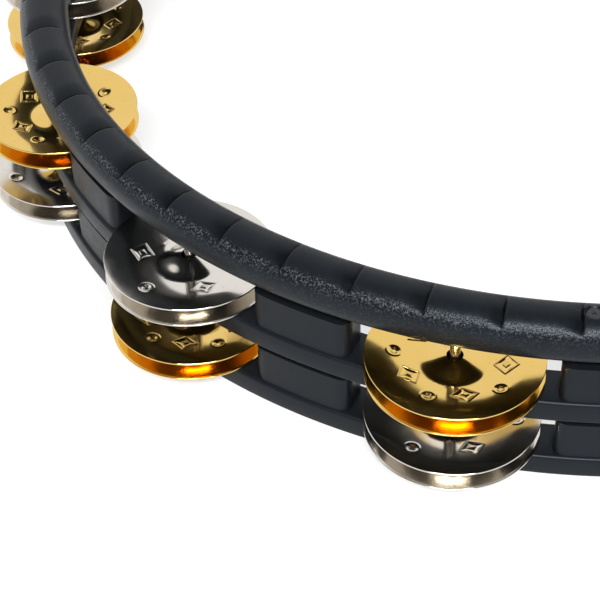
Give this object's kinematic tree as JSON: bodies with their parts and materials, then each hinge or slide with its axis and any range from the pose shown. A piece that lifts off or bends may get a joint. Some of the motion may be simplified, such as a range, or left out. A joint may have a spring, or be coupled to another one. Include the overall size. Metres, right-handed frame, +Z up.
{
  "type": "tambourine",
  "caption": "Headless hand tambourine: stacked black ring mouldings with two rows of slots, loose brass and nickel jingle pairs on steel pins, and a solid grip.",
  "frame": {"origin": "middle of the whole footprint, jingles included, on the plane that the bottom rail rests on; the ring's own centre is 4 mm towards +Y", "axes": "+Z up out of the ring through the rounded top rail, +Y towards the middle of the hand grip"},
  "size_m": [0.2788, 0.2653, 0.0386],
  "materials": {
    "black_moulding": "satin ABS, spark-eroded grain on the top rail's outer side",
    "jingle_brass": "polished",
    "jingle_nickel": "polished nickel plate on steel",
    "pin_steel": "drawn wire",
    "black_screw": "black oxide"
  },
  "bodies": {
    "frame": {"bottom_ring": "black_moulding", "middle_ring": "black_moulding", "top_ring": "black_moulding", "frame_screw_1": "black_screw", "frame_screw_2": "black_screw", "frame_screw_3": "black_screw", "frame_screw_4": "black_screw", "frame_screw_5": "black_screw", "jingle_pin_01": "pin_steel", "jingle_pin_02": "pin_steel", "jingle_pin_03": "pin_steel", "jingle_pin_04": "pin_steel", "jingle_pin_05": "pin_steel", "jingle_pin_06": "pin_steel", "jingle_pin_07": "pin_steel", "jingle_pin_08": "pin_steel", "jingle_pin_09": "pin_steel", "jingle_pin_10": "pin_steel"},
    "jingle_01_upper_bottom": {"jingle_01_upper_bottom": "jingle_brass"},
    "jingle_01_upper_top": {"jingle_01_upper_top": "jingle_brass"},
    "jingle_01_lower_bottom": {"jingle_01_lower_bottom": "jingle_nickel"},
    "jingle_01_lower_top": {"jingle_01_lower_top": "jingle_nickel"},
    "jingle_02_upper_bottom": {"jingle_02_upper_bottom": "jingle_nickel"},
    "jingle_02_upper_top": {"jingle_02_upper_top": "jingle_nickel"},
    "jingle_02_lower_bottom": {"jingle_02_lower_bottom": "jingle_brass"},
    "jingle_02_lower_top": {"jingle_02_lower_top": "jingle_brass"},
    "jingle_03_upper_bottom": {"jingle_03_upper_bottom": "jingle_brass"},
    "jingle_03_upper_top": {"jingle_03_upper_top": "jingle_brass"},
    "jingle_03_lower_bottom": {"jingle_03_lower_bottom": "jingle_nickel"},
    "jingle_03_lower_top": {"jingle_03_lower_top": "jingle_nickel"},
    "jingle_04_upper_bottom": {"jingle_04_upper_bottom": "jingle_nickel"},
    "jingle_04_upper_top": {"jingle_04_upper_top": "jingle_nickel"},
    "jingle_04_lower_bottom": {"jingle_04_lower_bottom": "jingle_brass"},
    "jingle_04_lower_top": {"jingle_04_lower_top": "jingle_brass"},
    "jingle_05_upper_bottom": {"jingle_05_upper_bottom": "jingle_brass"},
    "jingle_05_upper_top": {"jingle_05_upper_top": "jingle_brass"},
    "jingle_05_lower_bottom": {"jingle_05_lower_bottom": "jingle_nickel"},
    "jingle_05_lower_top": {"jingle_05_lower_top": "jingle_nickel"},
    "jingle_06_upper_bottom": {"jingle_06_upper_bottom": "jingle_nickel"},
    "jingle_06_upper_top": {"jingle_06_upper_top": "jingle_nickel"},
    "jingle_06_lower_bottom": {"jingle_06_lower_bottom": "jingle_brass"},
    "jingle_06_lower_top": {"jingle_06_lower_top": "jingle_brass"},
    "jingle_07_upper_bottom": {"jingle_07_upper_bottom": "jingle_brass"},
    "jingle_07_upper_top": {"jingle_07_upper_top": "jingle_brass"},
    "jingle_07_lower_bottom": {"jingle_07_lower_bottom": "jingle_nickel"},
    "jingle_07_lower_top": {"jingle_07_lower_top": "jingle_nickel"},
    "jingle_08_upper_bottom": {"jingle_08_upper_bottom": "jingle_nickel"},
    "jingle_08_upper_top": {"jingle_08_upper_top": "jingle_nickel"},
    "jingle_08_lower_bottom": {"jingle_08_lower_bottom": "jingle_brass"},
    "jingle_08_lower_top": {"jingle_08_lower_top": "jingle_brass"},
    "jingle_09_upper_bottom": {"jingle_09_upper_bottom": "jingle_brass"},
    "jingle_09_upper_top": {"jingle_09_upper_top": "jingle_brass"},
    "jingle_09_lower_bottom": {"jingle_09_lower_bottom": "jingle_nickel"},
    "jingle_09_lower_top": {"jingle_09_lower_top": "jingle_nickel"},
    "jingle_10_upper_bottom": {"jingle_10_upper_bottom": "jingle_nickel"},
    "jingle_10_upper_top": {"jingle_10_upper_top": "jingle_nickel"},
    "jingle_10_lower_bottom": {"jingle_10_lower_bottom": "jingle_brass"},
    "jingle_10_lower_top": {"jingle_10_lower_top": "jingle_brass"}
  },
  "joints": [
    {"name": "slide_01_upper_bottom", "type": "slide", "parent": "frame", "child": "jingle_01_upper_bottom", "axis": [0, 0, 1], "range_m": [0, 0.00225]},
    {"name": "slide_01_upper_top", "type": "slide", "parent": "jingle_01_upper_bottom", "child": "jingle_01_upper_top", "axis": [0, 0, 1], "range_m": [0, 0.00225]},
    {"name": "slide_01_lower_bottom", "type": "slide", "parent": "frame", "child": "jingle_01_lower_bottom", "axis": [0, 0, 1], "range_m": [0, 0.00225]},
    {"name": "slide_01_lower_top", "type": "slide", "parent": "jingle_01_lower_bottom", "child": "jingle_01_lower_top", "axis": [0, 0, 1], "range_m": [0, 0.00225]},
    {"name": "slide_02_upper_bottom", "type": "slide", "parent": "frame", "child": "jingle_02_upper_bottom", "axis": [0, 0, 1], "range_m": [0, 0.00225]},
    {"name": "slide_02_upper_top", "type": "slide", "parent": "jingle_02_upper_bottom", "child": "jingle_02_upper_top", "axis": [0, 0, 1], "range_m": [0, 0.00225]},
    {"name": "slide_02_lower_bottom", "type": "slide", "parent": "frame", "child": "jingle_02_lower_bottom", "axis": [0, 0, 1], "range_m": [0, 0.00225]},
    {"name": "slide_02_lower_top", "type": "slide", "parent": "jingle_02_lower_bottom", "child": "jingle_02_lower_top", "axis": [0, 0, 1], "range_m": [0, 0.00225]},
    {"name": "slide_03_upper_bottom", "type": "slide", "parent": "frame", "child": "jingle_03_upper_bottom", "axis": [0, 0, 1], "range_m": [0, 0.00225]},
    {"name": "slide_03_upper_top", "type": "slide", "parent": "jingle_03_upper_bottom", "child": "jingle_03_upper_top", "axis": [0, 0, 1], "range_m": [0, 0.00225]},
    {"name": "slide_03_lower_bottom", "type": "slide", "parent": "frame", "child": "jingle_03_lower_bottom", "axis": [0, 0, 1], "range_m": [0, 0.00225]},
    {"name": "slide_03_lower_top", "type": "slide", "parent": "jingle_03_lower_bottom", "child": "jingle_03_lower_top", "axis": [0, 0, 1], "range_m": [0, 0.00225]},
    {"name": "slide_04_upper_bottom", "type": "slide", "parent": "frame", "child": "jingle_04_upper_bottom", "axis": [0, 0, 1], "range_m": [0, 0.00225]},
    {"name": "slide_04_upper_top", "type": "slide", "parent": "jingle_04_upper_bottom", "child": "jingle_04_upper_top", "axis": [0, 0, 1], "range_m": [0, 0.00225]},
    {"name": "slide_04_lower_bottom", "type": "slide", "parent": "frame", "child": "jingle_04_lower_bottom", "axis": [0, 0, 1], "range_m": [0, 0.00225]},
    {"name": "slide_04_lower_top", "type": "slide", "parent": "jingle_04_lower_bottom", "child": "jingle_04_lower_top", "axis": [0, 0, 1], "range_m": [0, 0.00225]},
    {"name": "slide_05_upper_bottom", "type": "slide", "parent": "frame", "child": "jingle_05_upper_bottom", "axis": [0, 0, 1], "range_m": [0, 0.00225]},
    {"name": "slide_05_upper_top", "type": "slide", "parent": "jingle_05_upper_bottom", "child": "jingle_05_upper_top", "axis": [0, 0, 1], "range_m": [0, 0.00225]},
    {"name": "slide_05_lower_bottom", "type": "slide", "parent": "frame", "child": "jingle_05_lower_bottom", "axis": [0, 0, 1], "range_m": [0, 0.00225]},
    {"name": "slide_05_lower_top", "type": "slide", "parent": "jingle_05_lower_bottom", "child": "jingle_05_lower_top", "axis": [0, 0, 1], "range_m": [0, 0.00225]},
    {"name": "slide_06_upper_bottom", "type": "slide", "parent": "frame", "child": "jingle_06_upper_bottom", "axis": [0, 0, 1], "range_m": [0, 0.00225]},
    {"name": "slide_06_upper_top", "type": "slide", "parent": "jingle_06_upper_bottom", "child": "jingle_06_upper_top", "axis": [0, 0, 1], "range_m": [0, 0.00225]},
    {"name": "slide_06_lower_bottom", "type": "slide", "parent": "frame", "child": "jingle_06_lower_bottom", "axis": [0, 0, 1], "range_m": [0, 0.00225]},
    {"name": "slide_06_lower_top", "type": "slide", "parent": "jingle_06_lower_bottom", "child": "jingle_06_lower_top", "axis": [0, 0, 1], "range_m": [0, 0.00225]},
    {"name": "slide_07_upper_bottom", "type": "slide", "parent": "frame", "child": "jingle_07_upper_bottom", "axis": [0, 0, 1], "range_m": [0, 0.00225]},
    {"name": "slide_07_upper_top", "type": "slide", "parent": "jingle_07_upper_bottom", "child": "jingle_07_upper_top", "axis": [0, 0, 1], "range_m": [0, 0.00225]},
    {"name": "slide_07_lower_bottom", "type": "slide", "parent": "frame", "child": "jingle_07_lower_bottom", "axis": [0, 0, 1], "range_m": [0, 0.00225]},
    {"name": "slide_07_lower_top", "type": "slide", "parent": "jingle_07_lower_bottom", "child": "jingle_07_lower_top", "axis": [0, 0, 1], "range_m": [0, 0.00225]},
    {"name": "slide_08_upper_bottom", "type": "slide", "parent": "frame", "child": "jingle_08_upper_bottom", "axis": [0, 0, 1], "range_m": [0, 0.00225]},
    {"name": "slide_08_upper_top", "type": "slide", "parent": "jingle_08_upper_bottom", "child": "jingle_08_upper_top", "axis": [0, 0, 1], "range_m": [0, 0.00225]},
    {"name": "slide_08_lower_bottom", "type": "slide", "parent": "frame", "child": "jingle_08_lower_bottom", "axis": [0, 0, 1], "range_m": [0, 0.00225]},
    {"name": "slide_08_lower_top", "type": "slide", "parent": "jingle_08_lower_bottom", "child": "jingle_08_lower_top", "axis": [0, 0, 1], "range_m": [0, 0.00225]},
    {"name": "slide_09_upper_bottom", "type": "slide", "parent": "frame", "child": "jingle_09_upper_bottom", "axis": [0, 0, 1], "range_m": [0, 0.00225]},
    {"name": "slide_09_upper_top", "type": "slide", "parent": "jingle_09_upper_bottom", "child": "jingle_09_upper_top", "axis": [0, 0, 1], "range_m": [0, 0.00225]},
    {"name": "slide_09_lower_bottom", "type": "slide", "parent": "frame", "child": "jingle_09_lower_bottom", "axis": [0, 0, 1], "range_m": [0, 0.00225]},
    {"name": "slide_09_lower_top", "type": "slide", "parent": "jingle_09_lower_bottom", "child": "jingle_09_lower_top", "axis": [0, 0, 1], "range_m": [0, 0.00225]},
    {"name": "slide_10_upper_bottom", "type": "slide", "parent": "frame", "child": "jingle_10_upper_bottom", "axis": [0, 0, 1], "range_m": [0, 0.00225]},
    {"name": "slide_10_upper_top", "type": "slide", "parent": "jingle_10_upper_bottom", "child": "jingle_10_upper_top", "axis": [0, 0, 1], "range_m": [0, 0.00225]},
    {"name": "slide_10_lower_bottom", "type": "slide", "parent": "frame", "child": "jingle_10_lower_bottom", "axis": [0, 0, 1], "range_m": [0, 0.00225]},
    {"name": "slide_10_lower_top", "type": "slide", "parent": "jingle_10_lower_bottom", "child": "jingle_10_lower_top", "axis": [0, 0, 1], "range_m": [0, 0.00225]}
  ]
}
